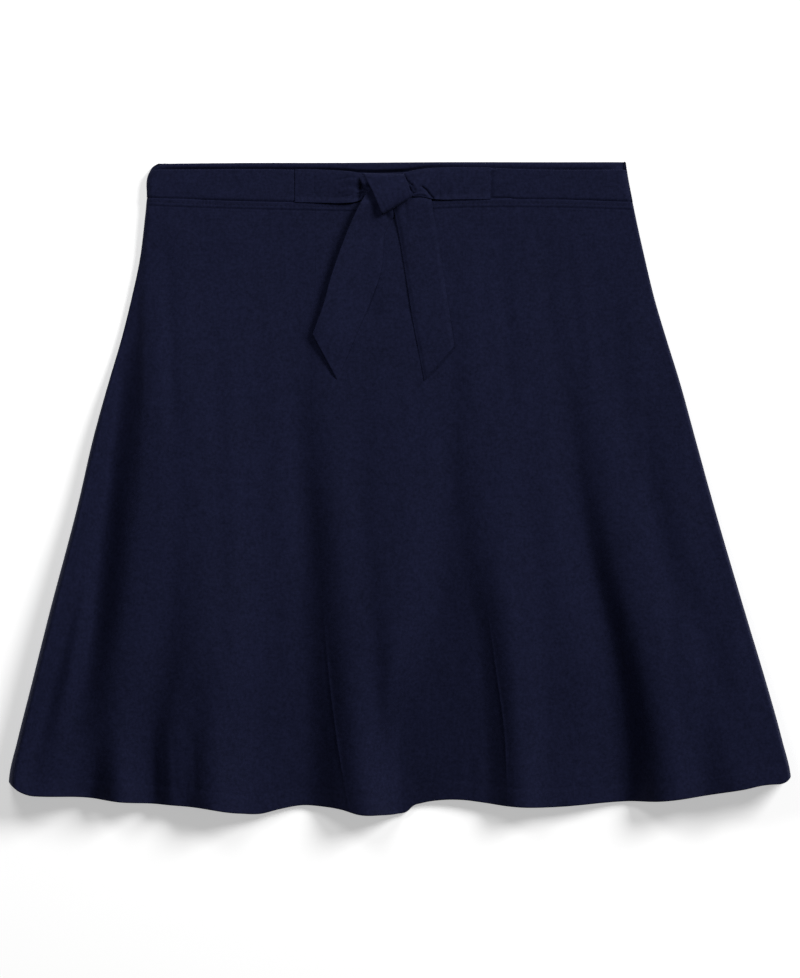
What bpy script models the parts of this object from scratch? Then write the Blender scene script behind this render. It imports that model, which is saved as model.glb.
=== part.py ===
"""A navy skort laid flat on its back: flared gored skirt, waistband with a tied sash, shorts inside.

Lengths are millimetres in the tables and metres in the scene. +Z is up from the surface it lies on, +Y runs
from the hem to the waist, +X to the right of someone looking at the front. The origin is under the middle of
the garment. "drop" is a distance down the garment from the highest point of its waist.
"""

import math

import bmesh
import bpy
import numpy as np
from mathutils import Vector

MM = 0.001

# ---------------------------------------------------------------- driving sizes
LENGTH = 418.9  # top of the waist to the lowest point of the hem
HALF_SWEEP = 250.7  # half the width from hem corner to hem corner
SKIRT_WALL = 1.2
BAND_WALL = 1.8
HIDDEN_BAND_WALL = 1.4
SHORTS_WALL = 1.0
TIE_WALL = 1.2
SEAM_GAP = 0.3

# Both side seams, from the waist down: where the laid garment's outline runs.
SIDE_SEAMS = (  # drop, left, right
    (0.0, -153.0, 145.0),
    (2.6, -157.9, 145.2),
    (6.4, -160.5, 145.7),
    (24.4, -162.4, 148.9),
    (37.2, -163.7, 151.5),
    (62.9, -166.9, 157.2),
    (88.6, -172.4, 163.4),
    (114.2, -178.8, 171.0),
    (139.9, -186.4, 179.0),
    (178.4, -197.0, 189.6),
    (216.9, -205.8, 200.2),
    (293.9, -225.9, 222.7),
    (332.5, -235.5, 234.3),
    (371.0, -245.2, 245.0),
    (393.0, -250.3, 250.3),
    (397.0, -HALF_SWEEP, HALF_SWEEP),
)
# The hem droops at each flute's crest and rises in the troughs between.
HEM_LINE = (  # x, drop
    (-250.7, 404.0),
    (-208.0, 406.9),
    (-154.0, 411.7),
    (-125.0, 414.3),
    (-96.0, 418.0),
    (-62.0, 411.8),
    (-35.0, 416.0),
    (-15.0, LENGTH),
    (8.0, 412.5),
    (30.0, 408.8),
    (69.0, 412.7),
    (93.0, 414.3),
    (139.0, 410.1),
    (162.0, 410.1),
    (200.0, 405.6),
    (228.0, 400.0),
    (250.7, 398.6),
)
HEM_CORNERS = ((-1, 17.0, 7.4), (1, 9.0, 5.2))  # side, how far in it starts, rise at the corner
BACK_HEM_SHORTER = 2.0

# Where the waistband's lower edge is sewn to the skirt, and the upper edges of the two waistbands.
WAIST_SEAM = ((-163.0, 23.2), (-125.0, 24.7), (-65.0, 26.2), (-10.0, 26.8), (40.0, 24.6), (100.0, 24.5), (149.0, 25.9))
FRONT_TOP = ((-163.0, 5.6), (-70.0, 5.2), (-10.0, 6.4), (45.0, 4.6), (149.0, 5.6))
BACK_TOP = ((-158.0, 0.6), (-100.0, 0.0), (-40.0, 0.5), (20.0, 0.2), (90.0, 0.7), (145.0, 0.3))

# Heights above the surface.
CREST_HEIGHTS = ((0, 7.4), (35, 7.2), (70, 7.6), (120, 10.0), (200, 14.0), (280, 18.5), (350, 22.5), (420, 25.5))
OVER_SHORTS = 6.1  # lowest the front skirt's face can lie where the shorts are under it
OFF_SHORTS = 3.4  # and where only the back skirt is
BAND_FACE = 7.6
HIDDEN_BAND_FACE = 6.4
SIDE_SEAM_HEIGHTS = ((0, 3.8), (100, 3.6), (419, 4.4))
SIDE_ROLL = ((0, 3.6), (100, 4.5), (419, 6.0))  # how far in from the outline a panel turns down
TURN_STEPS = (0, 5, 30, 60)  # where the columns of a turned edge lie, in degrees round it
STITCHED_STRIP = {"wide": 6.8, "proud": 0.5, "fade": 0.9}  # seam allowance pressed down under the waistband

# Troughs between the flutes of the front skirt, at these drops.
FOLD_DROPS = (60, 150, 240, 320, 370, 412)
FOLDS = (  # name, x at each drop, share of the full depth at each drop, half widths left and right at waist and hem
    ("left_flank", (-162.5, -173.3, -181, -194, -218, -243), (0.35, 0.85, 0.85, 0.55, 0.2, 0), (4.5, 5, 5, 7)),
    ("left_edge", (-170, -184, -194.5, -217, -228, -237), (0, 0, 0.25, 0.45, 0.2, 0), (4, 4, 5, 5)),
    ("left_hem", (-190, -190, -190, -191, -192, -196), (0, 0, 0, 0, 0.3, 0.8), (6, 6, 8, 9)),
    ("left_inner", (-147, -147, -148, -149, -154, -150.5), (0, 0, 0, 0.35, 0.6, 0.85), (6, 6, 7, 9)),
    ("left_notch", (-125, -125, -125, -126, -130, -133), (0, 0, 0, 0.05, 0.3, 0.6), (6, 6, 6, 7)),
    ("left_soft", (-88, -85, -79, -78, -77.5, -82), (0, 0.1, 0.2, 0.25, 0.25, 0.3), (7, 7, 7, 7)),
    ("left_main", (-54, -57, -51, -46.5, -43.5, -47), (0.1, 0.4, 0.75, 0.95, 1, 1), (6, 6, 9, 11)),
    ("centre_soft", (-28, -26, -18, -8, 4, 19), (0, 0.08, 0.15, 0.25, 0.35, 0.5), (9, 9, 12, 12)),
    ("right_main", (36, 39, 47, 58, 63, 66), (0.05, 0.25, 0.45, 0.85, 0.95, 1), (8, 7, 13, 6)),
    ("right_soft", (84, 86, 90, 100, 109, 105), (0, 0.05, 0.1, 0.28, 0.3, 0.3), (8, 8, 11, 11)),
    ("right_outer", (103, 112, 126, 146.5, 154, 156), (0.05, 0.4, 0.75, 0.9, 1, 1), (8, 7, 10, 8)),
    ("right_flank", (145, 156, 180, 205, 222, 235), (0.1, 0.3, 0.22, 0.15, 0.05, 0), (7, 7, 8, 8)),
    ("right_hem", (190, 190, 190, 191, 193, 198), (0, 0, 0, 0.03, 0.15, 0.25), (9, 9, 9, 9)),
)
# Ridges that lift the back skirt off the surface towards the hem, one under each broad flute.
BACK_RIDGES = ((-222, 4.0, 9), (-100, 5.0, 11), (-14, 4.5, 10), (112, 5.0, 12), (206, 4.0, 10))  # x, height, half width
BACK_RIDGE_START = 318

# The two seams between the front's three gores, at these drops.
GORE_DROPS = (24, 60, 150, 240, 320, 370, 419)
GORE_LEFT = (-54, -54, -57, -50, -43.5, -38, -35.5)
GORE_RIGHT = (40, 40, 41, 49, 60, 66, 68.3)

# Shorts: drop, outer edge left and right, inner edge of a leg.
CROTCH_DROP = 238.0
SHORTS_HEM = 303.0
SHORTS_EDGES = ((27, -157, 143), (80, -159, 147), (150, -160, 150), (230, -161, 152), (303, -162, 153))
INSEAM = ((0.0, 0.0), (10.0, 4.5), (28.0, 9.0), (65.0, 14.0))  # below the crotch, out from the middle
SHORTS_BACK_FACE = 1.6
SHORTS_FRONT_FACE = 4.1
SHORTS_SIDE_HEIGHT = 2.85
SHORTS_ROLL = 1.15
SHORTS_RELIEF = {"height": 0.13, "across": 19.0, "down": 27.0}  # loose cloth never lies dead flat
SHORTS_TOP = 27.6
SHORTS_TOP_RISE = {"height": 1.2, "over": 16.0}  # the front rises to the waist seam

# Sash. A row is one line across the ribbon: left end and right end as x, drop, and how far each is lifted.
TIE_SEAMS = (-67.4, 57.8)  # where the sash is caught between the waistband's parts
TIE_LEFT = (
    ((-67.1, 5.3, 0.0), (-67.1, 25.8, 0.0)),
    ((-50.0, 6.1, 0.3), (-50.0, 26.4, 0.3)),
    ((-36.0, 7.3, 2.0), (-38.0, 27.0, 2.2)),
    ((-29.0, 7.9, 3.6), (-32.0, 26.6, 3.0)),
    ((-25.0, 9.2, 2.6), (-28.5, 24.0, 1.2)),
    ((-18.5, 12.5, 1.6), (-20.0, 20.5, 0.8)),
)
TIE_RIGHT = (
    ((57.5, 24.0, 0.0), (57.5, 4.2, 0.0)),
    ((40.0, 24.2, 0.2), (40.0, 4.6, 0.3)),
    ((24.0, 24.3, 0.8), (20.0, 5.6, 1.4)),
    ((14.0, 21.5, 2.6), (8.0, 7.0, 3.2)),
    ((5.5, 19.0, 2.4), (0.5, 9.5, 3.0)),
    ((0.5, 18.0, 1.8), (-2.5, 11.0, 2.2)),
)
KNOT = (  # the ribbon that wraps the crossing, from its tucked top end round to its tucked lower end
    ((-21.5, 11.2, 3.4), (2.2, 11.0, 3.4)),
    ((-23.4, 8.6, 4.6), (2.0, 8.4, 4.6)),
    ((-23.7, 7.7, 6.6), (2.3, 7.6, 6.4)),
    ((-22.0, 9.8, 8.4), (3.2, 9.6, 8.0)),
    ((-17.5, 19.5, 9.0), (5.2, 15.5, 8.4)),
    ((-12.6, 30.0, 7.8), (7.0, 20.4, 7.2)),
    ((-10.5, 34.4, 5.4), (7.6, 22.2, 5.2)),
    ((-11.2, 33.6, 3.4), (7.0, 21.6, 3.6)),
    ((-13.0, 30.4, 2.8), (5.4, 19.4, 3.0)),
)
TAIL_LEFT = (
    ((-18.4, 20.6, 3.2), (-9.6, 25.5, 1.2)),
    ((-23.0, 31.5, 3.8), (-10.2, 38.0, 1.2)),
    ((-32.1, 53.5, 4.2), (-11.4, 62.0, 0.6)),
    ((-44.5, 84.0, 4.4), (-19.6, 93.0, 0.4)),
    ((-51.0, 100.0, 3.8), (-30.0, 117.0, 0.3)),
    ((-55.8, 111.8, 3.0), (-40.4, 140.7, 0.2)),
)
TAIL_RIGHT = (
    ((-3.2, 26.0, 1.2), (15.5, 21.5, 0.8)),
    ((-3.6, 31.6, 0.9), (20.4, 27.0, 0.5)),
    ((1.4, 59.8, 0.3), (24.6, 53.5, 0.3)),
    ((8.5, 98.5, 0.2), (30.4, 92.0, 0.3)),
    ((15.4, 140.7, 0.1), (34.7, 122.0, 0.8)),
)

NAVY = (0.0115, 0.0125, 0.031, 1.0)
NAVY_INSIDE = (0.010, 0.011, 0.028, 1.0)


# ---------------------------------------------------------------- curves and heights
def smooth(table, at, column=1):
    """The value at a place along a table whose first column is the place: a cubic through its rows."""
    rows = np.asarray(table, float)
    place, value = rows[:, 0], rows[:, column]
    slope = np.gradient(value, place)
    at = np.clip(np.asarray(at, float), place[0], place[-1])
    i = np.clip(np.searchsorted(place, at) - 1, 0, len(place) - 2)
    span = place[i + 1] - place[i]
    t = (at - place[i]) / span
    return (
        (1 + 2 * t) * (1 - t) ** 2 * value[i]
        + t * (1 - t) ** 2 * span * slope[i]
        + t**2 * (3 - 2 * t) * value[i + 1]
        - t**2 * (1 - t) * span * slope[i + 1]
    )


def ease(at, start, end):
    """0 before start, 1 after end, and an even S between them."""
    t = np.clip((np.asarray(at, float) - start) / (end - start), 0, 1)
    return t * t * (3 - 2 * t)


def left_side(drop):
    return smooth(SIDE_SEAMS, drop, 1)


def right_side(drop):
    return smooth(SIDE_SEAMS, drop, 2)


def waist_seam(x):
    return smooth(WAIST_SEAM, x)


def hem(x):
    drop = smooth(HEM_LINE, x)
    for side, start, rise in HEM_CORNERS:
        inward = HALF_SWEEP - side * np.asarray(x, float)
        drop = drop - rise * np.clip(1 - inward / start, 0, 1) ** 2
    return drop


def back_hem(x):
    inward = HALF_SWEEP - np.abs(x)
    return hem(x) - BACK_HEM_SHORTER * ease(inward, 5, 40)


def bell(x, centre, left, right):
    """1 at the centre of a fold, falling away with its own half width on each side."""
    wide = np.where(x < centre, left, right)
    return np.exp(-0.5 * ((x - centre) / wide) ** 2)


def front_face(x, drop):
    """Height of the front skirt's upper face, before it turns down at the side seams."""
    crest = smooth(CREST_HEIGHTS, drop)
    shorts_left, shorts_right = smooth(SHORTS_EDGES, drop, 1), smooth(SHORTS_EDGES, drop, 2)
    over = ease(x, shorts_left - 9, shorts_left - 3) * (1 - ease(x, shorts_right + 3, shorts_right + 9))
    over = over * (1 - ease(drop, SHORTS_HEM + 3, SHORTS_HEM + 25))
    lowest = OFF_SHORTS + (OVER_SHORTS - OFF_SHORTS) * over
    kept = 1.0
    for _, places, shares, (waist_left, waist_right, hem_left, hem_right) in FOLDS:
        centre = smooth(list(zip(FOLD_DROPS, places)), drop)
        share = np.clip(smooth(list(zip(FOLD_DROPS, shares)), drop), 0, 1) * ease(drop, 28, 70)
        down = ease(drop, FOLD_DROPS[0], FOLD_DROPS[-2])
        left = waist_left + (hem_left - waist_left) * down
        right = waist_right + (hem_right - waist_right) * down
        kept = kept * (1 - share * bell(x, centre, left, right))
    height = lowest + (crest - lowest) * kept
    below_seam = drop - waist_seam(x)
    strip = 1 - ease(below_seam, STITCHED_STRIP["wide"], STITCHED_STRIP["wide"] + STITCHED_STRIP["fade"])
    return height + STITCHED_STRIP["proud"] * strip


def back_face(x, drop):
    """Height of the back skirt's lower face: on the surface, apart from the ridges near the hem."""
    height = 0.0
    for centre, rise, wide in BACK_RIDGES:
        height = height + rise * bell(x, centre, wide, wide) * ease(drop, BACK_RIDGE_START, 415)
    return np.where(height < 0.06, 0.0, height)


def turned(height, seam_height, inward, roll):
    """A face's height where it turns to the side seam, as a quarter round."""
    t = np.clip(inward / roll, 0, 1)
    return seam_height + (height - seam_height) * np.sqrt(1 - (1 - t) ** 2)


# ---------------------------------------------------------------- meshes
def material(name, colour):
    made = bpy.data.materials.new(name)
    made.use_nodes = True
    shader = made.node_tree.nodes["Principled BSDF"]
    shader.inputs["Base Color"].default_value = colour
    shader.inputs["Roughness"].default_value = 0.85
    shader.inputs["Metallic"].default_value = 0.0
    made.diffuse_color = colour
    return made


def cloth(name, points, wall, finish, garment, face_up=True):
    """One sewn piece: an open sheet through a grid of points (rows, columns, xyz in millimetres), made thick."""
    rows, columns, _ = points.shape
    work = bmesh.new()
    bmesh.ops.create_grid(work, x_segments=columns - 1, y_segments=rows - 1, size=0.5)
    work.verts.ensure_lookup_table()
    for vertex, place in zip(work.verts, points.reshape(-1, 3)):
        vertex.co = Vector(place) * MM
    middle = work.faces[:][len(work.faces) // 2]
    middle.normal_update()
    if (middle.normal.z > 0) != face_up:
        bmesh.ops.reverse_faces(work, faces=work.faces)
    mesh = bpy.data.meshes.new(name)
    work.to_mesh(mesh)
    work.free()
    mesh.materials.append(finish)
    mesh.shade_smooth()
    piece = bpy.data.objects.new(name, mesh)
    garment["pieces"].objects.link(piece)
    piece.parent = garment["root"]
    thick = piece.modifiers.new("Wall", "SOLIDIFY")
    thick.thickness = wall * MM
    thick.offset = -1.0
    return piece


def across(left, right, shares, roll_left, roll_right):
    """Places across one row: even shares of the flat part, with closer ones where an edge turns."""
    turns = 1 - np.cos(np.radians(TURN_STEPS))
    inner_left = left + (roll_left or 0)
    inner_right = right - (roll_right or 0)
    flat = inner_left + (inner_right - inner_left) * shares
    start = left + turns * roll_left if roll_left else np.empty(0)
    end = (right - turns * roll_right)[::-1] if roll_right else np.empty(0)
    return np.concatenate([start, flat, end])


def gathered_shares(face, left, right, drops, count):
    """Shares of a panel's width, closer together where its face bends most."""
    even = np.linspace(0, 1, 400)
    bend = np.zeros_like(even)
    for drop in drops:
        x = left(drop) + (right(drop) - left(drop)) * even
        height = face(x, np.full_like(x, drop))
        bend += np.abs(np.gradient(np.gradient(height, x), x))
    density = 1 + 2.2 * np.sqrt(bend / bend.mean())
    total = np.concatenate([[0], np.cumsum((density[1:] + density[:-1]) / 2)])
    return np.interp(np.linspace(0, 1, count), total / total[-1], even)


def panel(face, left, right, top, bottom, shares, levels, rolls):
    """Grid of a panel between two side lines and two cross lines. rolls says which side edges turn down."""
    columns = len(shares) + len(TURN_STEPS) * sum(rolls)
    grid = np.zeros((len(levels), columns, 3))
    x = across(left(200.0), right(200.0), shares, 5.0 * rolls[0], 5.0 * rolls[1])
    for row, level in enumerate(levels):
        drop = top(x) + level * (bottom(x) - top(x))
        for _ in range(6):  # the side lines depend on the drop, and the drop on the place across
            roll = smooth(SIDE_ROLL, drop)
            ends = [left(drop), right(drop)]
            x = np.array([
                across(a, b, shares, r * rolls[0], r * rolls[1])[i]
                for i, (a, b, r) in enumerate(zip(ends[0], ends[1], roll))
            ])
            drop = top(x) + level * (bottom(x) - top(x))
        height = face(x, drop)
        seam_height = smooth(SIDE_SEAM_HEIGHTS, drop)
        upper = SEAM_GAP / 2 if height.mean() > seam_height.mean() else -SEAM_GAP / 2
        if rolls[0]:
            height = turned(height, seam_height + upper, x - left_side(drop), roll)
        if rolls[1]:
            height = turned(height, seam_height + upper, right_side(drop) - x, roll)
        grid[row] = np.stack([x, LENGTH / 2 - drop, height], axis=1)
    return grid


def seam_line(table, side, face):
    """One gore's edge at a seam: half the gap to that side of it, wider where the cloth is steep."""
    rows = list(zip(GORE_DROPS, table))

    def line(drop):
        x = smooth(rows, drop)
        slope = (face(x + 0.5, drop) - face(x - 0.5, drop)) / 1.0
        return x + side * SEAM_GAP / 2 * np.sqrt(1 + slope**2)

    return line


def ribbon(rows, ground, steps, columns, wall):
    """Grid of a ribbon: rows across it, smoothed along it, lifted off what it lies on."""
    rows = np.asarray(rows, float)
    lengths = np.linalg.norm(np.diff(rows[:, :, :2].mean(axis=1), axis=0), axis=1)
    along = np.concatenate([[0], np.cumsum(lengths + 0.5)])
    places = np.linspace(0, along[-1], steps)
    grid = np.zeros((steps, columns, 3))
    for end in (0, 1):
        for axis in range(3):
            line = smooth(np.stack([along, rows[:, end, axis]], axis=1), places)
            weight = np.linspace(1, 0, columns) if end == 0 else np.linspace(0, 1, columns)
            grid[:, :, axis] += line[:, None] * weight
    x, drop, lift = grid[:, :, 0], grid[:, :, 1], grid[:, :, 2]
    height = ground(x, drop) + SEAM_GAP + wall + lift
    return np.stack([x, LENGTH / 2 - drop, height], axis=2)


# ---------------------------------------------------------------- the pieces
def skirt(garment, navy):
    levels = np.array([0, 0.009, 0.0168, 0.0195, *np.linspace(0.06, 1, 19)])
    bend_drops = (120, 200, 280, 340, 380, 410)
    gores = (
        ("skirt_front_left", left_side, seam_line(GORE_LEFT, -1, front_face), 27, (1, 0)),
        ("skirt_front_centre", seam_line(GORE_LEFT, 1, front_face), seam_line(GORE_RIGHT, -1, front_face), 15, (0, 0)),
        ("skirt_front_right", seam_line(GORE_RIGHT, 1, front_face), right_side, 25, (0, 1)),
    )

    def top(x):
        return waist_seam(x) + SEAM_GAP / 2

    for name, left, right, columns, rolls in gores:
        shares = gathered_shares(front_face, left, right, bend_drops, columns)
        grid = panel(front_face, left, right, top, hem, shares, levels, rolls)
        cloth(name, grid, SKIRT_WALL, navy, garment)

    shares = gathered_shares(back_face, left_side, right_side, (400,), 33)
    back_levels = np.array([0, *np.linspace(0.25, 0.72, 4), *np.linspace(0.77, 1, 6)])
    grid = panel(back_face, left_side, right_side, top, back_hem, shares, back_levels, (1, 1))
    cloth("skirt_back", grid, SKIRT_WALL, navy, garment, face_up=False)


def flat_face(height):
    return lambda x, drop: np.full_like(np.asarray(x, float), height)


def straight(x):
    return lambda drop: np.full_like(np.asarray(drop, float), x)


def waistband(garment, navy):
    def front_top(x):
        return smooth(FRONT_TOP, x)

    def back_top(x):
        return smooth(BACK_TOP, x)

    def lower_edge(x):
        return waist_seam(x) - SEAM_GAP / 2

    half = SEAM_GAP / 2
    levels = np.linspace(0, 1, 4)
    parts = (
        ("waistband_front_left", left_side, straight(TIE_SEAMS[0] - half), 8, (1, 0), BAND_FACE, BAND_WALL, front_top),
        ("waistband_front_right", straight(TIE_SEAMS[1] + half), right_side, 8, (0, 1), BAND_FACE, BAND_WALL, front_top),
        ("waistband_back", left_side, right_side, 22, (1, 1), 0.0, BAND_WALL, back_top),
    )
    for name, left, right, columns, rolls, face, wall, top in parts:
        shares = np.linspace(0, 1, columns)
        grid = panel(flat_face(face), left, right, top, lower_edge, shares, levels, rolls)
        cloth(name, grid, wall, navy, garment, face_up=face > 0)

    def sunk_top(x):
        return front_top(x) + 0.8

    sides = straight(TIE_SEAMS[0] + half), straight(TIE_SEAMS[1] - half)
    grid = panel(flat_face(HIDDEN_BAND_FACE), *sides, sunk_top, lower_edge, np.linspace(0, 1, 12), levels, (0, 0))
    cloth("waistband_front_centre", grid, HIDDEN_BAND_WALL, navy, garment)


def shorts_row(side, layer, drop):
    """One line across half of the shorts, from the side seam to the middle or, below the crotch, the inseam."""
    outer = float(smooth(SHORTS_EDGES, drop, 1 if side < 0 else 2))
    inner = side * (SEAM_GAP / 2 + float(smooth(INSEAM, drop - CROTCH_DROP)))
    width = abs(outer - inner)
    turns = SHORTS_ROLL * (1 - np.cos(np.radians(TURN_STEPS)))
    inward = np.concatenate([turns, np.linspace(SHORTS_ROLL, width - SHORTS_ROLL, 5), (width - turns)[::-1]])
    up = 1 if layer == "front" else -1
    face = SHORTS_FRONT_FACE if layer == "front" else SHORTS_BACK_FACE
    rise = SHORTS_TOP_RISE["height"] * ease(SHORTS_TOP + SHORTS_TOP_RISE["over"] - drop, 0, SHORTS_TOP_RISE["over"])
    x = outer - side * inward
    wave = np.sin(x / SHORTS_RELIEF["across"] + drop / 60) * np.cos(drop / SHORTS_RELIEF["down"])
    height = face + (rise if up > 0 else 0) + SHORTS_RELIEF["height"] * wave
    seam = SHORTS_SIDE_HEIGHT + up * SEAM_GAP / 2
    height = turned(height, seam, inward, SHORTS_ROLL)
    if drop > CROTCH_DROP:
        height = turned(height, seam, width - inward, SHORTS_ROLL)
    return np.stack([x, np.full(len(x), LENGTH / 2 - drop), height], axis=1)


def shorts(garment, inside):
    """Two legs, each a front and a back, joined down the middle to the crotch."""
    drops = [*np.linspace(SHORTS_TOP, CROTCH_DROP, 7), *np.linspace(CROTCH_DROP + 5, SHORTS_HEM, 6)]
    for side, side_name in ((-1, "left"), (1, "right")):
        for layer in ("front", "back"):
            grid = np.array([shorts_row(side, layer, drop) for drop in drops])
            cloth(f"shorts_{layer}_{side_name}", grid, SHORTS_WALL, inside, garment, face_up=layer == "front")


def sash(garment, navy):
    def ground(x, drop):
        """What the sash lies on: the sunk middle of the waistband, then the skirt."""
        on_skirt = ease(drop - waist_seam(x), -3.0, 0.0)
        return HIDDEN_BAND_FACE * (1 - on_skirt) + front_face(x, np.maximum(drop, 24)) * on_skirt

    for name, rows, steps, columns in (
        ("sash_left", TIE_LEFT, 12, 6),
        ("sash_right", TIE_RIGHT, 12, 6),
        ("sash_knot", KNOT, 18, 7),
        ("sash_tail_left", TAIL_LEFT, 14, 6),
        ("sash_tail_right", TAIL_RIGHT, 14, 6),
    ):
        cloth(name, ribbon(rows, ground, steps, columns, TIE_WALL), TIE_WALL, navy, garment)


def main():
    for leftover in list(bpy.data.objects):
        bpy.data.objects.remove(leftover, do_unlink=True)
    pieces = bpy.data.collections.new("skort")
    bpy.context.scene.collection.children.link(pieces)
    root = bpy.data.objects.new("skort_origin", None)
    pieces.objects.link(root)
    garment = {"pieces": pieces, "root": root}
    navy = material("navy_twill", NAVY)
    inside = material("navy_shorts", NAVY_INSIDE)
    skirt(garment, navy)
    waistband(garment, navy)
    shorts(garment, inside)
    sash(garment, navy)


main()
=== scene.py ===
import math

import bmesh
import bpy
import numpy as np
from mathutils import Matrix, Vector


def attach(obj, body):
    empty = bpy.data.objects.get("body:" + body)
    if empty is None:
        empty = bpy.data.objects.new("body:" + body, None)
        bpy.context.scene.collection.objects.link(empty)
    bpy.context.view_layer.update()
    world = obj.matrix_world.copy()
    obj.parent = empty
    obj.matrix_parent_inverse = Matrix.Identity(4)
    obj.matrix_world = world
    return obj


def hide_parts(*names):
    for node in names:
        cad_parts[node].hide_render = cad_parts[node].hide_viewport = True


# A navy skort laid flat on its back. Tables are in millimetres: x to the right of someone looking at its
# front, "drop" down the garment from the top of the waist, heights up from the surface it lies on.
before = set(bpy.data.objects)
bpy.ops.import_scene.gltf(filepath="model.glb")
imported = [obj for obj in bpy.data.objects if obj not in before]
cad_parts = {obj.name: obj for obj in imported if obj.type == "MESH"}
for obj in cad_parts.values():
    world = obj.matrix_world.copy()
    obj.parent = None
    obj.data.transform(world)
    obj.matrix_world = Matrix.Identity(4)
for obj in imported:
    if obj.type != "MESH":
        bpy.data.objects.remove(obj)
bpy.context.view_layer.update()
mm = 0.001
print("frame loaded,", len(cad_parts), "nodes")

cut = {
    "length": 418.9,
    "halfSweep": 250.7,  # half the hem's width
    "cloth": 0.45,  # one layer of twill
    "sideSeams": (  # drop, left, right
        (0, -153, 145), (2.6, -157.9, 145.2), (6.4, -160.5, 145.7), (24.4, -162.4, 148.9),
        (37.2, -163.7, 151.5), (62.9, -166.9, 157.2), (88.6, -172.4, 163.4), (114.2, -178.8, 171),
        (139.9, -186.4, 179), (178.4, -197, 189.6), (216.9, -205.8, 200.2), (293.9, -225.9, 222.7),
        (332.5, -235.5, 234.3), (371, -245.2, 245), (393, -250.3, 250.3), (397, -250.7, 250.7),
    ),
    "hemLine": (  # x, drop: the hem droops at a flute's crest and rises between
        (-250.7, 404.9), (-231, 406.1), (-205, 407.1), (-180, 410), (-154, 411.8), (-128, 413.9),
        (-103, 417.5), (-90, 418.1), (-77, 415.1), (-62, 412.7), (-51, 413.3), (-38, 415), (-26, 418.2),
        (-13, 418.7), (-2, 418.2), (4.6, 416.6), (8.4, 413.1), (14, 411.3), (27, 409.3), (40, 409.2),
        (52, 410.6), (65, 412.5), (78, 413.5), (91, 413.8), (104, 413.3), (117, 412.3), (129, 411.2),
        (142, 410.3), (166, 409.6), (180, 408.1), (193, 406.2), (206, 404.1), (219, 402), (232, 399.2),
        (250.7, 398.2),
    ),
    "panelLength": 392.0,  # from the waist seam to the hem, for spacing the rows
    "rowSteps": {"front": 2.2, "back": 3.2},
    "hemRows": (10, 1.2),  # close rows at the hem, and the step between them
    "hemRadius": 0.6,  # how the cloth turns under at the hem
    "hemAllowance": 12.0,
    "hemCorners": ((-1, 17.0, 7.4), (1, 9.0, 4.6)),  # side, how far in it starts, rise at the corner
    "backHemShorter": 2.0,
    "waistSeam": (
        (-163, 23.2), (-125, 24.7), (-65, 26.2), (-10, 26.8), (40, 24.6), (100, 24.5), (149, 25.9),
    ),
    "waistRows": (2.3, 5.1),  # the two rows of stitches, below the waist seam
    "sideSeamHeights": ((0, 3.8), (100, 3.6), (419, 4.4)),
    "sideRoll": ((0, 3.6), (100, 4.5), (419, 6.0)),
    "tuck": 2.2,  # how far a gore's edge turns in at its seam
    "sideGap": 0.05,  # half the gap at a side seam, at a gore seam and at the waist seam
    "goreGap": 0.02,
    "waistGap": 0.1,
    "goreSeams": (  # drop, left, right
        (24, -54, 40), (60, -54, 40), (150, -57, 41), (240, -52, 49), (320, -46.5, 60.5), (370, -40.5, 67),
        (419, -32, 68.3),
    ),
}


def smooth(table, at, column=1):
    # a cubic through the rows of a table whose first column is the place
    rows = np.asarray(table, float)
    place, value = rows[:, 0], rows[:, column]
    slope = np.gradient(value, place)
    at = np.clip(np.asarray(at, float), place[0], place[-1])
    i = np.clip(np.searchsorted(place, at) - 1, 0, len(place) - 2)
    span = place[i + 1] - place[i]
    t = (at - place[i]) / span
    return (
        (1 + 2 * t) * (1 - t) ** 2 * value[i]
        + t * (1 - t) ** 2 * span * slope[i]
        + t**2 * (3 - 2 * t) * value[i + 1]
        - t**2 * (1 - t) * span * slope[i + 1]
    )


def ease(at, start, end):
    t = np.clip((np.asarray(at, float) - start) / (end - start), 0, 1)
    return t * t * (3 - 2 * t)


def bell(x, centre, left, right):
    return np.exp(-0.5 * ((x - centre) / np.where(x < centre, left, right)) ** 2)


def peak(at, place, wide):
    # 1 at the place, fading to nothing about twice wide away from it
    return np.exp(-(((at - place) / wide) ** 2))


def straight(value):
    # a line that keeps to one value
    return lambda at: np.full_like(np.asarray(at, float), value)


def softNoise(x, y, wide, tall, seed):
    # even, seeded bumps from -1 to 1, wide by tall millimetres
    cells = 64
    lattice = np.random.default_rng(seed).uniform(-1, 1, (cells, cells))
    u, v = np.asarray(x, float) / wide + 20.3, np.asarray(y, float) / tall + 20.7
    i, j = np.floor(u).astype(int), np.floor(v).astype(int)
    s, t = ease(u - i, 0, 1), ease(v - j, 0, 1)
    corner = lambda a, b: lattice[(i + a) % cells, (j + b) % cells]
    low = corner(0, 0) * (1 - s) + corner(1, 0) * s
    high = corner(0, 1) * (1 - s) + corner(1, 1) * s
    return low * (1 - t) + high * t


def rumpled(x, drop, bumps):
    # the soft bumps of a table of height, width, length and seed
    return sum(height * softNoise(x, drop, wide, tall, seed) for height, wide, tall, seed in bumps)


def nearLine(x, drop, points, wide):
    # 1 on the line through the points, fading to nothing about twice wide away from it
    nearest = np.full(np.broadcast(x, drop).shape, 1e6)
    for (x0, drop0), (x1, drop1) in zip(points, points[1:]):
        runX, runDrop = x1 - x0, drop1 - drop0
        t = np.clip(((x - x0) * runX + (drop - drop0) * runDrop) / (runX**2 + runDrop**2), 0, 1)
        nearest = np.minimum(nearest, np.hypot(x - x0 - t * runX, drop - drop0 - t * runDrop))
    return peak(nearest, 0, wide)


def marked(x, drop, marks):
    # the ridges (above 0) and grooves (below 0) of a table of height, width and line
    return sum(height * nearLine(x, drop, points, wide) for height, wide, points in marks)


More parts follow.
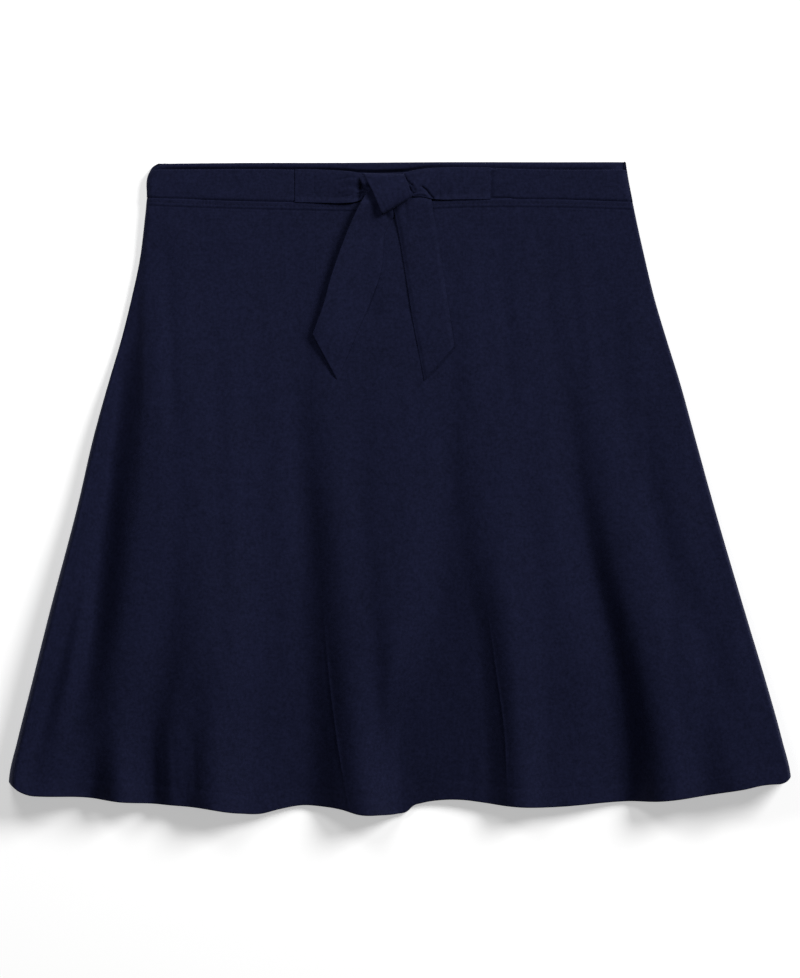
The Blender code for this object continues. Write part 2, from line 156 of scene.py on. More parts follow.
def seamLine(seams, column, past=0.0):
    # a seam's line down the garment, or a line that far past it to the right
    return lambda drop: smooth(cut[seams], drop, column) + past


leftSide, rightSide = seamLine("sideSeams", 1), seamLine("sideSeams", 2)


def waistSeam(x):
    return smooth(cut["waistSeam"], x)


def hemDrop(x):
    drop = smooth(cut["hemLine"], x)
    for side, start, rise in cut["hemCorners"]:
        inward = cut["halfSweep"] - side * np.asarray(x, float)
        drop -= rise * np.clip(1 - inward / start, 0, 1) ** 2
    return drop


def backHemDrop(x):
    inward = cut["halfSweep"] - np.abs(x)
    return hemDrop(x) - cut["backHemShorter"] * ease(inward, 5, 40)


def waistGrooves(x, drop, depths):
    # where the two rows of stitches draw the cloth in
    below = drop - waistSeam(x)
    return sum(depth * peak(below, row, 0.45) for row, depth in zip(cut["waistRows"], depths))


frontCloth = {
    "crestHeights": (
        (0, 7.4), (35, 7.2), (70, 7.6), (120, 10), (200, 14), (280, 18.5), (350, 22.5), (420, 25.5),
    ),
    "leftSwell": (3.2, (-160, -60), (60, 160), (300, 400)),  # rise; x it fades, drops it comes and goes over
    "overShorts": 6.1,  # the floor of a trough above the shorts' cloth, and beside it
    "offShorts": 3.4,
    "stripWide": 5.9,  # the seam allowance pressed down under the waistband
    "stripProud": 0.5,
    "rowDepths": (0.15, 0.75),  # of the grooves at the two rows of stitches
    "foldsBegin": (28, 70),
    "foldDrops": (60, 150, 240, 320, 370, 412),
    # name, x at each drop, share of the full depth at each drop, half widths to the left and to the right (at
    # the waist and the hem, or at each drop); a last row is how far the floor runs on to the right, rising
    # gently, before the steep bank
    "folds": (
        ("leftFlank", (-167, -180, -190.5, -200, -213, -236), (0.45, 1, 0.93, 0.62, 0.3, 0),
         (5, 5, 6.5, 6.5, 9, 10), (7.5, 9.5, 9.5, 9.5, 10, 12)),
        ("leftEdge", (-172, -188, -200, -218, -231, -242), (0, 0.05, 0.52, 0.54, 0.42, 0), (4, 6), (5, 7.5)),
        ("leftHem", (-190, -190, -190, -194, -196, -198), (0, 0, 0, 0.02, 0.26, 0.72), (6, 12), (6, 9)),
        ("leftInner", (-147, -147, -148, -152, -160, -159), (0, 0, 0, 0.32, 0.52, 0.74), (6, 10), (6, 9.5)),
        ("leftNotch", (-125, -125, -125, -129, -135, -137), (0, 0, 0, 0.03, 0.24, 0.42), (6, 9), (6, 8)),
        ("leftSoft", (-88, -88, -85, -86, -88, -91), (0, 0.15, 0.38, 0.6, 0.65, 0.55),
         (8, 11), (7, 8, 11, 18, 22, 22)),
        ("leftMain", (-62, -65.5, -62, -62.5, -62, -61.5), (0.1, 0.45, 0.87, 1, 1, 1),
         (9, 9, 10, 18, 25, 25), (6.5, 7.5, 10.5, 15.5, 17.5, 18)),
        ("centreSoft", (-26, -26, -23, -17, -13, -8), (0, 0.12, 0.22, 0.24, 0.38, 0.35), (9, 9), (8, 6)),
        ("rightMain", (33, 31, 30, 17, 0, 2), (0.08, 0.3, 0.6, 0.96, 1, 1),
         (10, 10, 10, 10, 8, 8), (7, 8, 9.5, 11.2, 12.3, 12.5), (0, 1, 6.5, 32.5, 53.5, 53)),
        ("rightSoft", (82, 84, 88, 95, 97, 97), (0, 0.12, 0.33, 0.5, 0.56, 0.5),
         (9, 11), (8, 8, 11, 18, 24, 24)),
        ("rightOuter", (97, 106, 118, 136.5, 144, 146), (0.12, 0.5, 0.87, 0.94, 1, 1),
         (12, 12, 14, 22, 29, 30), (7, 8, 8.4, 8.8, 9.6, 10.2)),
        ("rightFlank", (138, 146, 167, 198, 219, 235), (0.15, 0.24, 0.22, 0.1, 0.05, 0), (8, 10), (7, 9)),
        ("rightHem", (190, 190, 190, 191, 193, 196), (0, 0, 0, 0.05, 0.2, 0.3), (9, 10), (9, 10)),
        ("rightEdge", (160, 183, 208, 231, 246, 252), (0, 0.06, 0.12, 0.14, 0.14, 0.12), (10, 20), (10, 10)),
    ),
    "floorRise": 0.36,
    "creases": (  # x and drop where it starts, where it ends, half width, depth: small troughs
        (-149, 60, -144, 190, 3.6, 0.9), (-118, 110, -113, 330, 4.5, 0.6), (-101, 150, -99, 300, 3, 0.45),
        (-93, 130, -91, 250, 7, 0.7), (-142, 190, -147, 300, 4.5, 0.7), (-78, 215, -81, 345, 5.5, 1),
        (-81.5, 372, -81.5, 412, 2.4, 0.7), (-22, 72, -18, 104, 3.6, 0.9), (8, 150, 16, 260, 5, 0.5),
        (66, 60, 72, 170, 3.5, 0.5), (92, 45, 98, 130, 4, 0.6), (121, 60, 133, 170, 4.2, 0.6),
        (76, 260, 80, 380, 3.5, 0.8), (168, 250, 184, 390, 5, 0.9), (-14, 300, -6, 408, 5, 0.9),
        (-112, 340, -108, 410, 4, 0.8), (108, 60, 118, 150, 3.2, 0.6), (136, 90, 146, 190, 4, 0.6),
        (-158, 366, -157, 412, 1.5, 0.45), (-151, 374, -150, 412, 1.3, 0.35),
        (-144.5, 368, -143, 413, 1.6, 0.5), (-132, 372, -130, 414, 1.5, 0.4), (2, 346, 8, 412, 6.5, 1.6),
        (44, 384, 46, 410, 1.6, 0.3), (53, 380, 54, 410, 1.4, 0.3),
    ),
    "seamShows": (275, 345),  # the gore seams stand out as fine ridges below here, and less in the turned hem
    "seamFades": (385, 400),
    "ticks": (-126.6, -124.4, -122.3, -120.0, -118.3),  # short puckers across the waist seam
    "soft": ((0.5, 17, 95, 3),),  # height, width, length, seed: bumps that lie outside the troughs
    "fine": ((0.16, 8, 21, 5), (0.07, 3.4, 5.5, 7)),
}


def frontFace(x, drop):
    # the height of the front with its troughs, and the share of the crest's height that is left in them
    look = frontCloth
    crest = smooth(look["crestHeights"], drop)
    rise, fades, comes, goes = look["leftSwell"]
    crest += rise * (1 - ease(x, *fades)) * ease(drop, *comes) * (1 - ease(drop, *goes))
    shortsLeft, shortsRight = smooth(shorts["edges"], drop, 1), smooth(shorts["edges"], drop, 2)
    over = ease(x, shortsLeft - 9, shortsLeft - 3) * (1 - ease(x, shortsRight + 3, shortsRight + 9))
    over *= 1 - ease(drop, shorts["hem"], shorts["hem"] + 100)
    lowest = look["offShorts"] + (look["overShorts"] - look["offShorts"]) * over
    kept = 1.0
    down = ease(drop, look["foldDrops"][0], look["foldDrops"][-2])

    def alongFold(values):
        if len(values) == 2:
            return values[0] + (values[1] - values[0]) * down
        return smooth(list(zip(look["foldDrops"], values)), drop)

    for _, places, shares, lefts, rights, *floor in look["folds"]:
        past = x - alongFold(places)
        share = np.clip(alongFold(shares), 0, 1) * ease(drop, *look["foldsBegin"])
        left, right = alongFold(lefts), alongFold(rights)
        trough = bell(past, 0, left, right)
        if floor:
            level = np.maximum(alongFold(floor[0]), 0)
            steep = bell(np.maximum(past - level, 0), 0, left, right)
            gentle = bell(np.maximum(past, 0), 0, left, (level + right) / 1.9)
            trough = np.where(past < 0, trough, steep + (gentle - steep) * look["floorRise"])
        kept *= 1 - share * trough
    height = lowest + (crest - lowest) * kept
    return height, kept


def frontDetail(x, drop):
    # frontFace with its creases, seams, stitched strip and hem
    look = frontCloth
    height, kept = frontFace(x, drop)
    below = drop - waistSeam(x)
    height += look["stripProud"] * (1 - ease(below, look["stripWide"] - 0.9, look["stripWide"] + 0.5))
    height -= waistGrooves(x, drop, look["rowDepths"])
    free = ease(below, 6, 30)
    for x0, drop0, x1, drop1, wide, deep in look["creases"]:
        along = (drop - drop0) / (drop1 - drop0)
        middle = x0 + (x1 - x0) * along
        ends = ease(along, -0.15, 0.25) * (1 - ease(along, 0.7, 1.15))
        height -= deep * ends * bell(x, middle, wide, wide) * (0.4 + 0.6 * kept) * free
    height += rumpled(x, drop, look["soft"]) * kept * free
    height += rumpled(x, drop, look["fine"]) * free
    for column in (1, 2):
        away = np.abs(x - smooth(cut["goreSeams"], drop, column))
        ridge = 0.3 * peak(away, 0, 0.8) - 0.1 * peak(away, 1.9, 1.0)
        height += ridge * ease(drop, *look["seamShows"]) * (1 - 0.7 * ease(drop, *look["seamFades"]))
    for place in look["ticks"]:
        height -= 0.3 * nearLine(x, drop, ((place, 24.0), (place - 0.2, 28.4)), 0.45)
    pucker = 0.5 + 0.5 * softNoise(x, drop, 3.6, 9, 11)
    return height - (0.1 + 0.28 * pucker) * peak(hemDrop(x) - drop, cut["hemAllowance"], 1.1)


backCloth = {
    # x, height, half width
    "ridges": ((-222, 4, 9), (-100, 5, 11), (-14, 4.5, 10), (112, 5, 12), (206, 4, 10)),
    "ridgeDrops": (318, 415),  # where they begin and are whole
    "rowDepths": (0.15, 0.3),
}


def backFace(x, drop):
    height = 0.0
    for centre, rise, wide in backCloth["ridges"]:
        height += rise * bell(x, centre, wide, wide) * ease(drop, *backCloth["ridgeDrops"])
    return np.where(height < 0.06, 0.0, height)  # flat on the surface between the ridges


def backDetail(x, drop):
    # backFace lifted off the surface here and there, with its stitch rows and hem
    broad = np.clip(softNoise(x, drop, 26, 120, 21) - 0.25, 0, 1) * 0.5
    fine = np.clip(softNoise(x, drop, 7, 18, 23), 0, 1) * 0.12
    height = backFace(x, drop) + (broad + fine) * ease(drop - waistSeam(x), 8, 30)
    height += waistGrooves(x, drop, backCloth["rowDepths"])
    return height + 0.3 * peak(backHemDrop(x) - drop, cut["hemAllowance"], 1.3)


shorts = {
    "edges": ((27, -157, 143), (80, -159, 147), (150, -160, 150), (230, -161, 152), (303, -162, 153)),
    "top": 27.6,
    "crotch": 238.0,
    "hem": 303.0,
    "inseam": ((0.0, 0.0), (10.0, 4.5), (28.0, 9.0), (65.0, 14.0)),  # below the crotch, out from the middle
    "frontHeight": 4.1,
    "backHeight": 1.6,
    "sideHeights": ((0, 2.85), (400, 2.85)),
    "sideRoll": ((0, 1.15), (400, 1.15)),
    "topRise": 1.2,
    "topRiseOver": 16.0,
    "hemAllowance": 20.0,
    "cloth": 0.3,
    "hemRadius": 0.3,
}


def unit(vectors):
    return vectors / np.maximum(np.linalg.norm(vectors, axis=-1, keepdims=True), 1e-9)


def normals(grid, outward):
    return unit(np.cross(np.gradient(grid, axis=0), np.gradient(grid, axis=1))) * outward


def lengthAlong(points, axis=0):
    # how far each point lies from the first one, measured along the points
    run = np.cumsum(np.linalg.norm(np.diff(points, axis=axis), axis=-1), axis=axis)
    return np.concatenate([np.zeros_like(run.take([0], axis)), run], axis=axis)


# where the columns of a turned side edge lie, as shares of its roll
turnSteps = 1 - np.cos(np.radians((0, 3, 8, 15, 24, 35, 48, 62, 76)))


def panelGrid(face, left, right, top, bottom, levels, columns, rolls, outward, seamHeights, rollSizes):
    # rows down, columns across, xyz; rolls says how much of the roll each side edge has, where it turns down
    # to a side seam
    turnLeft = len(turnSteps) * (rolls[0] > 0)
    turnRight = len(turnSteps) * (rolls[1] > 0)
    near = np.array([0, 0.0015, 0.0035, 0.0065])  # close columns at the edges
    across = np.concatenate([near, np.linspace(0.011, 0.989, columns - 8), 1 - near[::-1]])
    share = np.concatenate([np.zeros(turnLeft), across, np.ones(turnRight)])[None, :]
    inLeft = np.concatenate([turnSteps[:turnLeft], np.ones(columns + turnRight)])[None, :]
    inRight = np.concatenate([np.ones(columns + turnLeft), turnSteps[:turnRight][::-1]])[None, :]
    level = np.asarray(levels)[:, None]
    guess = 200.0
    x = left(guess) + share * (right(guess) - left(guess)) + 0 * level
    for _ in range(9):  # the side lines depend on the drop, and the drop on the place across
        drop = top(x) + level * (bottom(x) - top(x))
        roll = smooth(rollSizes, drop)
        start = left(drop) + roll * rolls[0] * inLeft
        end = right(drop) - roll * rolls[1] * inRight
        x = start + share * (end - start)
    height = face(x, drop)
    seam = smooth(seamHeights, drop) + outward * cut["sideGap"]
    for turns, inward in ((rolls[0], x - left(drop)), (rolls[1], right(drop) - x)):
        if turns:
            t = np.clip(inward / (roll * turns), 0, 1)
            height = seam + (height - seam) * np.sqrt(1 - (1 - t) ** 2)
    return np.stack([x, cut["length"] / 2 - drop, height], axis=2)


def foldUnder(grid, outward, rows, radius, atTop=False):
    # carries the cloth round its lower (or upper) edge and back along its inside over that many rows
    n = normals(grid, outward)
    radius = np.broadcast_to(radius, grid.shape[1])[:, None]
    if atTop:
        grid, n = grid[::-1], n[::-1]
    edge, edgeNormal = grid[-1], n[-1]
    along = unit(grid[-1] - grid[-2])
    centre = edge - edgeNormal * radius
    turns = np.linspace(0, math.pi, 8)[1:]
    arc = [centre + radius * (edgeNormal * math.cos(a) + along * math.sin(a)) for a in turns]
    inside = (grid - n * 2 * radius)[-2 : -2 - rows : -1]
    whole = np.concatenate([grid, np.array(arc), inside])
    return whole[::-1] if atTop else whole


def tuckEdges(grid, outward, depth, solidRows):
    # turns both side edges in by depth, so that no light shows through a seam; rows past solidRows only close
    n = normals(grid, outward)
    keep = np.where(np.arange(len(grid)) < solidRows, 1.0, 0.08)[:, None]
    left = np.stack([grid[:, 0] - n[:, 0] * depth * keep * k for k in (1.0, 0.35)], axis=1)
    right = np.stack([grid[:, -1] - n[:, -1] * depth * keep * k for k in (0.35, 1.0)], axis=1)
    return np.concatenate([left, grid, right], axis=1)


def seamAllowance(grid, outward):
    # runs the skirt's upper edge in and up under the waistband, so that the waist seam is shut on every side
    n = normals(grid, outward)[0]
    along = unit(grid[0] - grid[1])
    rows = [grid[0] - n * inward + along * up for inward, up in ((1.1, 2.4), (1.0, 0.5), (0.5, 0.05))]
    return np.concatenate([np.array(rows), grid])


def addToScene(name, content):
    added = bpy.data.objects.new(name, content)
    bpy.context.scene.collection.objects.link(added)
    return added


def finishMesh(name, work, material):
    mesh = bpy.data.meshes.new(name)
    work.to_mesh(mesh)
    work.free()
    mesh.materials.append(material)
    return mesh


def gridPiece(name, grid, material, outward=1, thickness=None, closed=False, sharp=()):
    # a sheet through a grid of points in millimetres; closed joins the last column to the first and caps the
    # ends; a sharp column is a corner in the shading, where a seam's edge turns in
    rows, columns, _ = grid.shape
    work = bmesh.new()
    points = [work.verts.new(Vector(p) * mm) for p in grid.reshape(-1, 3)]
    wrap = columns if closed else columns - 1
    for i in range(rows - 1):
        for j in range(wrap):
            k = (j + 1) % columns
            corners = [points[a * columns + b] for a, b in ((i, j), (i + 1, j), (i + 1, k), (i, k))]
            work.faces.new(corners if outward > 0 else corners[::-1]).smooth = True
    if closed:
        for row in (0, rows - 1):
            ring = [points[row * columns + j] for j in range(columns)]
            work.faces.new(ring if row == 0 else ring[::-1])
        bmesh.ops.recalc_face_normals(work, faces=work.faces)
    for j in sharp:
        for i in range(rows - 1):
            work.edges.get((points[i * columns + j], points[(i + 1) * columns + j])).smooth = False
    mesh = finishMesh(name, work, material)
    across = lengthAlong(grid, 1)
    across -= across[:, columns // 2][:, None]
    grain = np.stack([across, lengthAlong(grid)], axis=2).reshape(-1, 2) * mm
    layer = mesh.uv_layers.new(name="grain")
    corner = np.empty(len(mesh.loops), int)
    mesh.loops.foreach_get("vertex_index", corner)
    layer.data.foreach_set("uv", grain[corner].ravel())
    piece = addToScene(name, mesh)
    if thickness:
        thick = piece.modifiers.new("thickness", "SOLIDIFY")
        thick.thickness = thickness * mm
        thick.offset = -1.0
    return piece


def dress(piece, slot, *nodes):
    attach(piece, "root")
    if nodes:
        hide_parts(*nodes)


# Materials. The weave reads the "grain" map, whose units are metres of cloth along and across each piece.
clothLook = {
    # dark and pale yarn, pitch of the rib, strength of the relief
    "twill": ((0.0035, 0.0044, 0.0163), (0.011, 0.0131, 0.041), 0.00062, 0.35),
    "shorts": ((0.005, 0.006, 0.019), (0.0085, 0.01, 0.0285), 0.0005, 0.25),
    "reliefDepth": 0.00012,
    "noises": {  # scale, detail, stretch along the grain, share in the tone
        "slub": (1.0, 3, (1500, 170, 1), 0.34),
        "crossSlub": (1.0, 3, (160, 1300, 1), 0.28),
        "fibre": (1400, 2, None, 0.6),
        "mottle": (520, 1, None, 1.05),
        "patch": (150, 1, None, 0.36),
        "cloud": (26, 4, None, 0.30),
    },
    "shader": {
        "Metallic": 0, "Specular IOR Level": 0.12, "Specular Tint": (0.75, 0.8, 1.0, 1.0),
        "Sheen Weight": 0.035, "Sheen Roughness": 0.45, "Sheen Tint": (0.45, 0.52, 1.0, 1.0),
    },
}
threadLook = {
    "dark": (0.003, 0.004, 0.014, 1),
    "pale": (0.0075, 0.009, 0.026, 1),
    "scale": 900,
    "shader": {"Roughness": 0.75, "Specular IOR Level": 0.12},
}


def weaveGroup():
    group = bpy.data.node_groups.new("twillWeave", "ShaderNodeTree")
    sockets = {
        "INPUT": {"Grain": "Vector", "Place": "Vector", "Dark": "Color", "Pale": "Color", "Pitch": "Float"},
        "OUTPUT": {"Color": "Color", "Height": "Float", "Roughness": "Float"},
    }
    for side, kinds in sockets.items():
        for name, kind in kinds.items():
            group.interface.new_socket(name, in_out=side, socket_type="NodeSocket" + kind)
    nodes, links = group.nodes, group.links
    given, made = nodes.new("NodeGroupInput"), nodes.new("NodeGroupOutput")

    def maths(operation, a, b=None, c=None):
        node = nodes.new("ShaderNodeMath")
        node.operation = operation
        for socket, value in zip(node.inputs, (a, b, c)):
            if value is None:
                continue
            if isinstance(value, (int, float)):
                socket.default_value = value
            else:
                links.new(value, socket)
        return node.outputs[0]

    split = nodes.new("ShaderNodeSeparateXYZ")
    links.new(given.outputs["Grain"], split.inputs[0])
    across = maths("DIVIDE", split.outputs[0], given.outputs["Pitch"])
    down = maths("DIVIDE", split.outputs[1], given.outputs["Pitch"])

    # the diagonal rib of a twill, and the warp yarns that step along it
    rib = maths("SINE", maths("MULTIPLY", maths("ADD", across, down), 2 * math.pi))
    yarn = maths("SINE", maths("MULTIPLY", across, 4 * math.pi))
    pick = maths("SINE", maths("MULTIPLY", down, 4 * math.pi))
    weave = maths("MULTIPLY_ADD", rib, 0.5, maths("MULTIPLY", maths("MULTIPLY", yarn, pick), 0.25))

    def noise(scale, detail, stretch):
        texture = nodes.new("ShaderNodeTexNoise")
        texture.inputs["Scale"].default_value = scale
        texture.inputs["Detail"].default_value = detail
        source = given.outputs["Place"]
        if stretch:
            mapping = nodes.new("ShaderNodeMapping")
            mapping.inputs["Scale"].default_value = stretch
            links.new(given.outputs["Grain"], mapping.inputs["Vector"])
            source = mapping.outputs[0]
        links.new(source, texture.inputs["Vector"])
        return texture.outputs[0]

    table = clothLook["noises"]
    noises = {name: noise(scale, detail, stretch) for name, (scale, detail, stretch, _) in table.items()}
    tone = maths("MULTIPLY_ADD", weave, 0.16, 0.47)
    for name, (*_, share) in table.items():
        tone = maths("ADD", tone, maths("MULTIPLY", maths("SUBTRACT", noises[name], 0.5), share))
    mix = nodes.new("ShaderNodeMix")
    mix.data_type = "RGBA"
    mix.clamp_factor = True
    links.new(tone, mix.inputs[0])
    links.new(given.outputs["Dark"], mix.inputs[6])
    links.new(given.outputs["Pale"], mix.inputs[7])
    links.new(mix.outputs[2], made.inputs["Color"])
    ribs = maths("MULTIPLY", weave, 0.6)
    yarns = maths("MULTIPLY", maths("ADD", noises["slub"], noises["fibre"]), 0.5)
    links.new(maths("ADD", ribs, yarns), made.inputs["Height"])
    gloss = maths("MULTIPLY_ADD", weave, -0.04, 0.80)
    links.new(maths("MULTIPLY_ADD", noises["cloud"], 0.12, gloss), made.inputs["Roughness"])
    return group


def newMaterial(name, values):
    # a material whose shader has these values; gives its nodes, links and shader too
    made = bpy.data.materials.new(name)
    made.use_nodes = True
    nodes, links = made.node_tree.nodes, made.node_tree.links
    shader = nodes["Principled BSDF"]
    for socket, value in values.items():
        shader.inputs[socket].default_value = value
    return made, nodes, links, shader


def clothMaterial(name, dark, pale, pitch, relief):
    made, nodes, links, shader = newMaterial(name, clothLook["shader"])
    weave = nodes.new("ShaderNodeGroup")
    weave.node_tree = weaveNodes
    grain = nodes.new("ShaderNodeUVMap")
    grain.uv_map = "grain"
    place = nodes.new("ShaderNodeTexCoord")
    links.new(grain.outputs[0], weave.inputs["Grain"])
    links.new(place.outputs["Object"], weave.inputs["Place"])
    weave.inputs["Dark"].default_value = (*dark, 1)
    weave.inputs["Pale"].default_value = (*pale, 1)
    weave.inputs["Pitch"].default_value = pitch
    bump = nodes.new("ShaderNodeBump")
    bump.inputs["Strength"].default_value = relief
    bump.inputs["Distance"].default_value = clothLook["reliefDepth"]
    links.new(weave.outputs["Height"], bump.inputs["Height"])
    links.new(weave.outputs["Color"], shader.inputs["Base Color"])
    links.new(weave.outputs["Roughness"], shader.inputs["Roughness"])
    links.new(bump.outputs[0], shader.inputs["Normal"])
    return made


def threadMaterial():
    made, nodes, links, shader = newMaterial("navyThread", threadLook["shader"])
    place = nodes.new("ShaderNodeTexCoord")
    noise = nodes.new("ShaderNodeTexNoise")
    noise.inputs["Scale"].default_value = threadLook["scale"]
    links.new(place.outputs["Object"], noise.inputs["Vector"])
    ramp = nodes.new("ShaderNodeValToRGB")
    ramp.color_ramp.elements[0].color = threadLook["dark"]
    ramp.color_ramp.elements[1].color = threadLook["pale"]
    links.new(noise.outputs[0], ramp.inputs[0])
    links.new(ramp.outputs[0], shader.inputs["Base Color"])
    return made


weaveNodes = weaveGroup()
twill = clothMaterial("navyTwill", *clothLook["twill"])
shortsCloth = clothMaterial("navyShorts", *clothLook["shorts"])
thread = threadMaterial()
print("materials ready")

sideHeights, sideRolls = cut["sideSeamHeights"], cut["sideRoll"]


def skirtLevels(step):
    # close rows under the waist and at the hem, even ones between
    length = cut["panelLength"]
    hemRows, hemStep = cut["hemRows"]
    waist = np.arange(0, 9, 0.6)
    hem = length - np.arange(hemRows, -1, -1) * hemStep
    middle = np.linspace(9, hem[0], int((hem[0] - 9) / step) + 1)[:-1]
    return np.concatenate([waist, middle, hem]) / length


def skirtPanel(face, left, right, hem, step, columns, rolls, outward):
    # from the seam allowance under the waistband to the turned hem, its side edges tucked in
    top = lambda x: waistSeam(x) + cut["waistGap"]
    bottom = lambda x: hem(x) - cut["hemRadius"]
    levels = skirtLevels(step)
    grid = panelGrid(face, left, right, top, bottom, levels, columns, rolls, outward, sideHeights, sideRolls)
    grid = seamAllowance(grid, outward)
    rows = len(grid)
    grid = foldUnder(grid, outward, cut["hemRows"][0], cut["hemRadius"])
    return tuckEdges(grid, outward, cut["tuck"], rows)


def buildFront():
    edge = lambda column, side: seamLine("goreSeams", column, side * cut["goreGap"])
    gores = (  # gore, left and right edges, columns, side rolls, columns where a seam's edge turns in
        ("left", leftSide, edge(1, -1), 170, (1, 0), (-3,)),
        ("centre", edge(1, 1), edge(2, -1), 100, (0, 0), (2, -3)),
        ("right", edge(2, 1), rightSide, 160, (0, 0.5), (2,)),
    )
    for gore, left, right, columns, rolls, corners in gores:
        grid = skirtPanel(frontDetail, left, right, hemDrop, cut["rowSteps"]["front"], columns, rolls, 1)
        sharp = [k % grid.shape[1] for k in corners]
        piece = gridPiece("front_gore_" + gore, grid, twill, 1, cut["cloth"], sharp=sharp)
        dress(piece, "navy_twill", "skirt_front_" + gore)


def buildBack():
    step = cut["rowSteps"]["back"]
    grid = skirtPanel(backDetail, leftSide, rightSide, backHemDrop, step, 190, (1, 1), -1)
    dress(gridPiece("back_panel", grid, twill, -1, cut["cloth"]), "navy_twill", "skirt_back")


band = {
    "frontTop": (
        (-163, 5.2), (-70, 5.2), (-35, 6), (-27, 6.7), (-18, 6.9), (-5, 6.7), (3, 6.3), (7.5, 5.7),
        (11.6, 5), (16, 4.4), (22.5, 3.8), (35, 3.8), (60, 4.3), (80, 5), (149, 5.3),
    ),
    "backTop": ((-158, 0.3), (-100, -0.2), (-40, 0), (20, -0.2), (90, 0.1), (145, 0.1)),
    "backEnds": (-158.0, 145.3),
    "face": 7.6,
    "centreFace": 6.2,
    "sashSeams": (-67.4, 57.8),
    "sashOverlap": 1.5,  # how far the centre part runs on behind a sash seam
    "centreLower": 0.5,  # it stays under the sash
    "foldRadius": 0.55,
    "backRadius": (0.6, 2.0),  # the back's folded edge, at its ends and plump between, above the front's
    "backSides": ((0, 1.2), (3, 1.5), (6, 3.0), (9, 3.8), (100, 3.6)),
    "bumps": ((0.16, 15, 11, 0), (0.06, 4, 5, 1)),  # height, width, length, seed past the part's own
    "hollow": (3.8, 4.6, ((-21.5, 10.5), (-19.0, 18.0))),  # depth, width, line: room beside the knot
    "crevice": (  # how deep the back's inside dips behind the front's edge
        (-163, 0), (-154, 0.9), (-100, 1.6), (-68, 1.8), (-36, 2.1), (-12, 2.6), (2, 2.6), (12, 2),
        (26, 1.2), (60, 0.8), (85, 0.8), (132, 0.7), (141, 0.1), (148, 0),
    ),
    "marks": (  # height, width, line
        (-0.5, 0.5, ((61.6, 4.6), (58.6, 4.6), (58.6, 23.2), (71, 23.4))),
        (-0.4, 0.9, ((78, 13.4), (87, 11.6), (96, 9.2))),
        (0.35, 2.4, ((63.5, 13), (69.5, 11.6))),
        (-0.25, 0.5, ((-69.4, 9), (-69.4, 22.6))),
        (-0.2, 1.6, ((-141, 9), (-138.5, 21))),
        (-0.2, 1.4, ((-108, 8.5), (-105, 20))),
        (-0.22, 1.6, ((118, 8.5), (121, 21.5))),
    ),
}


def bandLower(x):
    return waistSeam(x) - cut["waistGap"]


def backFold(x):
    left, right = band["backEnds"]
    inward = np.minimum(x - left, right - x)
    thin, plump = band["backRadius"]
    return thin + (plump - thin) * ease(inward, 1, 10)


def bandFace(base, seed, outward):
    def face(x, drop):
        relief = rumpled(x, drop, [(*bump, seed + past) for *bump, past in band["bumps"]])
        if outward > 0:
            relief += marked(x, drop, band["marks"])
            for place in frontCloth["ticks"]:
                relief -= 0.25 * nearLine(x, drop, ((place + 0.2, 22.8), (place, 25.0)), 0.45)
            for seam in band["sashSeams"]:
                relief -= 0.55 * peak(x, seam, 0.8)
            if base < band["face"]:
                deep, wide, line = band["hollow"]
                relief -= deep * nearLine(x, drop, line, wide)
        else:
            relief = np.abs(relief) * -0.6
        relief -= 0.65 * peak(bandLower(x) - drop, 0, 0.9)  # dips into the waist seam
        return base + outward * relief

    return face


def dipInside(inside):
    # lowers the back's inside where it shows behind the front's upper edge
    x, drop = inside[..., 0], cut["length"] / 2 - inside[..., 1]
    edge = smooth(band["frontTop"], x)
    dip = smooth(band["crevice"], x) * ease(drop, edge - 2.4, edge + 0.4)
    dip = np.minimum(dip, inside[..., 2] - 1.0)
    inside[..., 2] -= np.maximum(dip, 0)


def buildBands():
    levels = np.concatenate([np.linspace(0, 0.24, 11), np.linspace(0.29, 0.85, 11), np.linspace(0.88, 1, 7)])
    left, right = band["sashSeams"]
    past = band["sashOverlap"]
    face, under = band["face"], band["centreFace"]
    parts = (  # name, height, seed, left and right edges, columns, side rolls
        ("front_left", face, 31, leftSide, straight(left), 80, (1, 0)),
        ("front_right", face, 33, straight(right), rightSide, 78, (0, 1)),
        ("front_centre", under, 35, straight(left - past), straight(right + past), 90, (0, 0)),
        ("back", 0.0, 37, leftSide, rightSide, 190, (1, 1)),
    )
    for name, height, seed, start, end, columns, rolls in parts:
        isBack = name == "back"
        outward, seams = (-1, band["backSides"]) if isBack else (1, sideHeights)
        if isBack:
            top = lambda x: smooth(band["backTop"], x) + backFold(x)
        else:
            lowered = band["centreLower"] if name == "front_centre" else 0.0
            top = lambda x: smooth(band["frontTop"], x) + band["foldRadius"] + lowered
        look = bandFace(height, seed, outward)
        grid = panelGrid(look, start, end, top, bandLower, levels, columns, rolls, outward, seams, sideRolls)
        rows = len(grid)
        radius = backFold(grid[0, :, 0]) if isBack else band["foldRadius"]
        grid = foldUnder(grid, outward, len(levels) - 2, radius, atTop=True)
        if isBack:
            dipInside(grid[: len(grid) - rows])
        piece = gridPiece("band_" + name, grid, twill, outward, cut["cloth"])
        dress(piece, "navy_twill", "waistband_" + name)


